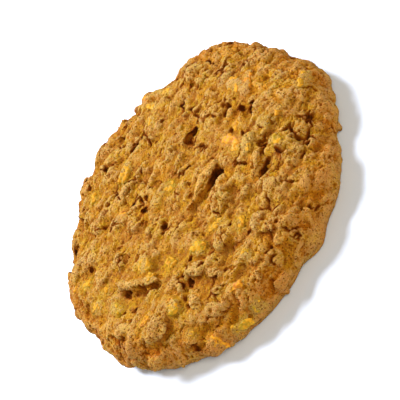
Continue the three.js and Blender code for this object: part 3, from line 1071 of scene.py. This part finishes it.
measure = geometry_bench("measure")
place = measure.add("GeometryNodeInputPosition")
normal = measure.add("GeometryNodeInputNormal")
cookie = measure.add("NodeGroupInput")
measures = {name: standing(measure, place, normal, rounds) for name, rounds in BLUR_ROUNDS.items()}
spotty = measure.add("GeometryNodeInputNamedAttribute", {"data_type": "FLOAT"}, {"Name": "openness"})
inputs = {"Value": spotty, "Iterations": 2}
measures["openness"] = measure.add("GeometryNodeBlurAttribute", {"data_type": "FLOAT"}, inputs)
for name, value in measures.items():
    inputs = {"Geometry": cookie, "Name": name, "Value": value}
    cookie = measure.add("GeometryNodeStoreNamedAttribute", None, inputs)
measure.add("NodeGroupOutput", None, {"Mesh": cookie})
modify(crumb, "NODES", node_group=measure.tree)
for name in measures:
    values = sorted(item.value for item in crumb.data.attributes[name].data)
    marks = [round(values[int(share * (len(values) - 1))], 3) for share in (0.02, 0.5, 0.98)]
    print(name, "at the lowest 2%, the middle and the highest 2%:", marks)

# %% [markdown]
# ## Juice in the dough
# Juice runs out of the apple and stains the dough next to it, so a bit has no hard edge. Each
# point of the crumb takes a tint from the nearest bit, stronger the closer it is. How near a point
# is to a slim ridge is kept as well, because a ridge is coloured amber, partly for its browning and
# partly as a painted highlight. After that the marks of the ridges have done their work and are
# removed.

# %% Let the juice stain the dough
RIDGE_REACH = 0.9 * MM
JUICE_REACH = 1.7 * MM
JUICE_BRIGHTNESS = 1.3

apple_tree = search_tree(apple)
tints = apple.data.attributes["tint"].data
on_ridge = crumb.data.attributes.new("on_ridge", "FLOAT", "POINT")
for vertex, item in zip(crumb.data.vertices, on_ridge.data):
    away = ridge_tree.find_nearest(vertex.co)[3]
    item.value = max(0.0, 1 - away / RIDGE_REACH)
bpy.data.objects.remove(ridges)
stain = crumb.data.attributes.new("stain", "FLOAT_COLOR", "POINT")
for vertex, spot in zip(crumb.data.vertices, stain.data):
    _, _, nearest, away = apple_tree.find_nearest(vertex.co)
    tint = tints[apple.data.polygons[nearest].vertices[0]].color
    spot.color = (*[JUICE_BRIGHTNESS * part for part in tint[:3]], max(0.0, 1 - away / JUICE_REACH))
wet = sum(spot.color[3] > 0 for spot in stain.data)
print(wet, "of", len(stain.data), "points of the dough are stained")

# %% [markdown]
# ## A finish is a recipe
# Each line of a recipe lays one colour over the last: a cloud or a measured attribute says where,
# `between` says from which value on, and the number behind it says how strongly. All of it reads
# the piece's own coordinates, so that the pattern stays on the cookie when it is moved.

# %% Helpers for a finish
def new_material(name):
    """A material with an empty bench to wire it on."""
    material = bpy.data.materials.new(name)
    material.use_nodes = True
    return material, Bench(material.node_tree)


def finish_material(bench, **sockets):
    """Adds the shader with its sockets, named with _ for a space, and the output."""
    inputs = {name.replace("_", " "): value for name, value in sockets.items()}
    shader = bench.add("ShaderNodeBsdfPrincipled", None, inputs)
    bench.add("ShaderNodeOutputMaterial", None, {"Surface": shader})


def dress(piece, material):
    """Gives a piece this material and no other."""
    piece.data.materials.clear()
    piece.data.materials.append(material)
    print(piece.name, "wears", material.name)


def attribute(bench, name, output=2):
    """An attribute of the mesh: output 2 is its number and 0 its colour."""
    return bench.add("ShaderNodeAttribute", {"attribute_name": name}, None, output)


# %% [markdown]
# ## Baked dough
# The crust is golden brown with a yellow cast, greyish where cinnamon and damp dough show, and
# orange on the rim that caught the heat. Its crests carry a pale painted highlight, and its cracks a
# red-brown to nearly black painted shade. Fine dark specks of bran run through all of it, and a
# little light runs under the skin.

# %% Choose the colours of the dough
GOLDEN = (0.532, 0.256, 0.013)
BUTTERY = (0.560, 0.312, 0.013)
CINNAMON = (0.415, 0.178, 0.048)
TOASTED = (0.520, 0.172, 0.005)
SCORCHED = (0.260, 0.080, 0.006)
# Amber for the slim ridges: partly their browning, partly a painted highlight on them.
AMBER_HIGHLIGHT = (0.680, 0.300, 0.014)
# A pale painted highlight for the crests of the crumb.
CREST_HIGHLIGHT = (0.690, 0.476, 0.180)
# Painted shade: red-brown for half-closed hollows, and nearly black deep in the cracks.
HOLLOW_SHADE = (0.275, 0.062, 0.001)
DEEP_SHADE = (0.050, 0.007, 0.0002)
BRAN = (0.150, 0.040, 0.001)
print("from the buttery places to the deepest cracks:", BUTTERY, DEEP_SHADE)

# %% Colour the crumb
crumb_finish, bench = new_material("baked_dough")
place = bench.add("ShaderNodeTexCoord", output=3)
grain_height = attribute(bench, "grain_height")
lump_height = attribute(bench, "lump_height")
openness = attribute(bench, "openness")
across = bench.add("ShaderNodeVectorMath", {"operation": "LENGTH"}, {0: place * (1.0, 1.0, 0.0)}, 1)
from_foot = part_of(bench, place, 2)

colour = bench.blend(GOLDEN, BUTTERY, bench.cloud(place, 5.0, detail=3.0).between(0.40, 0.60))
damp = bench.cloud(place, 3.0, detail=4.0, roughness=0.6).between(0.42, 0.58)
colour = bench.blend(colour, CINNAMON, damp * 0.5)
fleck = bench.cloud(place, 1.2, detail=3.0, roughness=0.6).between(0.46, 0.60)
colour = bench.blend(colour, CINNAMON, fleck * 0.35)
warm = bench.cloud(place, 4.6, detail=3.0).between(0.42, 0.62)
rim = across.between(31 * MM, 41 * MM)
colour = bench.blend(colour, TOASTED, warm * (0.18 + 0.37 * rim) + 0.42 * rim)
# Slim ridges: amber browning together with a painted highlight.
colour = bench.blend(colour, AMBER_HIGHLIGHT, attribute(bench, "on_ridge") * 0.65)
stained = attribute(bench, "stain", 3) * (0.4 + bench.cloud(place, 1.1, detail=3.0))
colour = bench.blend(colour, attribute(bench, "stain", 0), stained.between(0.25, 0.85) * 0.50)
uneven = bench.cloud(place, 0.8, detail=3.0, roughness=0.7) - 0.5
# Painted highlight: the higher a point stands above its surroundings, the paler it is coloured.
high = lump_height * 0.5 + grain_height * 1.6 + uneven * 0.8
colour = bench.blend(colour, CREST_HIGHLIGHT, high.between(-0.1, 0.7) * (0.54 - 0.26 * rim))
# Painted shade: darker where little light gets in, and where a point lies low among the grains.
colour = bench.blend(colour, HOLLOW_SHADE, (1 - openness.between(0.67, 0.96)) * 0.95)
colour = bench.blend(colour, HOLLOW_SHADE, (1 - grain_height.between(-0.12, 0.01)) * 0.40)
colour = bench.blend(colour, DEEP_SHADE, (1 - openness.between(0.47, 0.80)) * 0.85)
bran = bench.cloud(place, 0.45, detail=2.0, roughness=0.7).between(0.55, 0.65)
colour = bench.blend(colour, BRAN, bran * 0.90)
under = 1 - from_foot.between(0.1 * MM, 2.0 * MM)
browned = bench.cloud(place, 7.0, detail=5.0, roughness=0.65).between(0.36, 0.64)
colour = bench.blend(colour, bench.blend(TOASTED, SCORCHED, browned), under * 0.6)
rough = 0.62 + 0.28 * bench.cloud(place, 1.4, detail=3.0)
fine = bench.cloud(place, 0.42, detail=4.0, roughness=0.75) + 0.5 * bench.clods(place, 0.5)
bump = bench.add("ShaderNodeBump", None, {"Strength": 1.0, "Distance": 1.2 * MM, "Height": fine})
finish_material(bench, Base_Color=colour, Roughness=rough, Normal=bump, Specular_IOR_Level=0.04,
                Subsurface_Weight=0.20, Subsurface_Radius=(1.0, 0.35, 0.06), Subsurface_Scale=0.9 * MM)
dress(crumb, crumb_finish)

# %% [markdown]
# ## Baked apple
# Apple goes soft and half clear in the oven. Each bit has its own tint, kept as an attribute of
# its points, with paler and browner patches over it. Crumbs of dough stick to it, so the dough's
# brown shows through in small spots, and the bare parts shine a little.

# %% Colour the apple
PALE_FLESH = (0.45, 0.28, 0.03)
BROWNED_FLESH = (0.36, 0.13, 0.010)

apple_finish, bench = new_material("baked_apple")
place = bench.add("ShaderNodeTexCoord", output=3)
tint = attribute(bench, "tint", 0)
flesh = bench.cloud(place, 1.6, detail=3.0)
colour = bench.blend(tint, PALE_FLESH, flesh.between(0.50, 0.72) * 0.28)
browned = bench.cloud(place, 2.3, detail=3.0).between(0.48, 0.70)
colour = bench.blend(colour, BROWNED_FLESH, browned * 0.6)
crumbs = bench.cloud(place, 0.9, detail=4.0, roughness=0.65).between(0.44, 0.55)
colour = bench.blend(colour, GOLDEN, crumbs * 0.85)
rough = 0.50 + 0.30 * crumbs
fine = bench.cloud(place, 0.7, detail=3.0, roughness=0.6)
bump = bench.add("ShaderNodeBump", None, {"Strength": 0.5, "Distance": 0.2 * MM, "Height": fine})
finish_material(bench, Base_Color=colour, Roughness=rough, Normal=bump, Specular_IOR_Level=0.12,
                Subsurface_Weight=0.12, Subsurface_Radius=(1.0, 0.6, 0.2), Subsurface_Scale=1.0 * MM)
dress(apple, apple_finish)

# %% [markdown]
# ## A pale table
# The floor is plain and white in the picture. Its own colour is a pale blue, because the lamps
# and the air are warm, and that leaves its lit part white and the shadow a neutral grey.

# %% Colour the floor
COOL_WHITE = (0.62, 0.72, 0.95)

floor_finish, bench = new_material("pale_table")
finish_material(bench, Base_Color=COOL_WHITE, Roughness=0.6)
dress(floor, floor_finish)

# %% [markdown]
# ## The finished pieces
# Both pieces ride on the cookie's only body and stand for its CAD node. The last lines measure the
# finished box, turn it and the CAD box into JSON text that is not written anywhere, and print the
# finished size.

# %% Say what each piece is
for piece in (crumb, apple):
    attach(piece, "root")
    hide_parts("cookie")

# %% Measure the finished box
finished_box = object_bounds()
for name, box in (("cad", cad_box), ("visual", finished_box)):
    json.dumps({name: [list(corner) for corner in box]}) + "\n"
print("the finished cookie spans", [round((b - a) * 1000, 2) for a, b in zip(*finished_box)], "mm")
